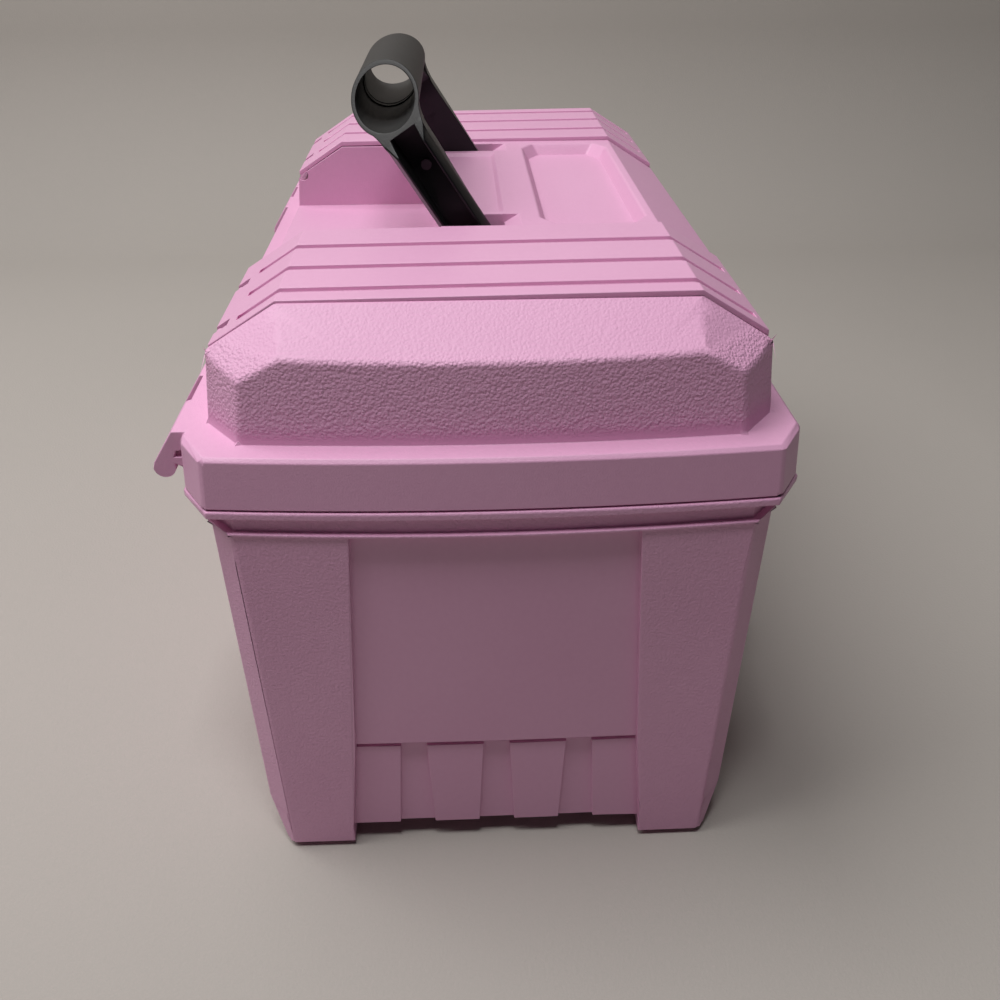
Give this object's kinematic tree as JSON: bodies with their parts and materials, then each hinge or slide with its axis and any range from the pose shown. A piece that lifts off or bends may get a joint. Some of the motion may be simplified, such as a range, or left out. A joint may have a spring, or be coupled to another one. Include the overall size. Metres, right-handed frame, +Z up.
{
  "type": "craft organizer box",
  "caption": "Deep moulded carry box with a hinged lid that holds covered bins, a folding grip handle, front latches and a lift-out tray.",
  "frame": {"origin": "middle of the footprint, on the surface the feet stand on", "axes": "+Z up, X along the long side, lid hinges on +Y, latches on -Y"},
  "size_m": [0.419, 0.245, 0.2971],
  "materials": {
    "shell_pink": "fine grained moulding, candy pink",
    "cover_pink": "satin moulding, candy pink",
    "handle_black": "satin black moulding",
    "tray_pink": "satin moulding, paler pink",
    "divider_frost": "frosted plastic",
    "pin_steel": "drawn wire"
  },
  "bodies": {
    "base": {"base_tub": "shell_pink"},
    "lid": {"lid_shell": "shell_pink", "bin_divider_left_1": "divider_frost", "bin_divider_left_2": "divider_frost", "lid_hinge_pin_left": "pin_steel", "cover_pin_left": "pin_steel", "handle_pin_left": "pin_steel", "latch_pin_left": "pin_steel", "bin_divider_right_1": "divider_frost", "bin_divider_right_2": "divider_frost", "lid_hinge_pin_right": "pin_steel", "cover_pin_right": "pin_steel", "handle_pin_right": "pin_steel", "latch_pin_right": "pin_steel"},
    "handle": {"carry_handle": "handle_black"},
    "cover_left": {"bin_cover_left": "cover_pink"},
    "cover_right": {"bin_cover_right": "cover_pink"},
    "latch_left": {"front_latch_left": "cover_pink"},
    "latch_right": {"front_latch_right": "cover_pink"},
    "tray": {"lift_out_tray": "tray_pink", "tray_divider_1": "divider_frost", "tray_divider_2": "divider_frost", "tray_divider_3": "divider_frost"}
  },
  "joints": [
    {"name": "lid_hinge", "type": "hinge", "parent": "base", "child": "lid", "pos_m": [0, 0.1185, 0.1805], "axis": [-1, 0, 0], "range_deg": [0, 105]},
    {"name": "handle_swing", "type": "hinge", "parent": "lid", "child": "handle", "pos_m": [0, 0, 0.2204], "axis": [-1, 0, 0], "range_deg": [-32.7, 57.3]},
    {"name": "cover_left_hinge", "type": "hinge", "parent": "lid", "child": "cover_left", "pos_m": [-0.133, 0.098, 0.2192], "axis": [-1, 0, 0], "range_deg": [-0.5, 109.5]},
    {"name": "cover_right_hinge", "type": "hinge", "parent": "lid", "child": "cover_right", "pos_m": [0.133, 0.098, 0.2192], "axis": [-1, 0, 0], "range_deg": [-0.5, 109.5]},
    {"name": "latch_left_swing", "type": "hinge", "parent": "lid", "child": "latch_left", "pos_m": [-0.1, -0.1146, 0.1827], "axis": [-1, 0, 0], "range_deg": [0, 100]},
    {"name": "latch_right_swing", "type": "hinge", "parent": "lid", "child": "latch_right", "pos_m": [0.1, -0.1146, 0.1827], "axis": [-1, 0, 0], "range_deg": [0, 100]},
    {"name": "tray_lift", "type": "slide", "parent": "base", "child": "tray", "axis": [0, 0, 1], "range_m": [0, 0.02]}
  ]
}
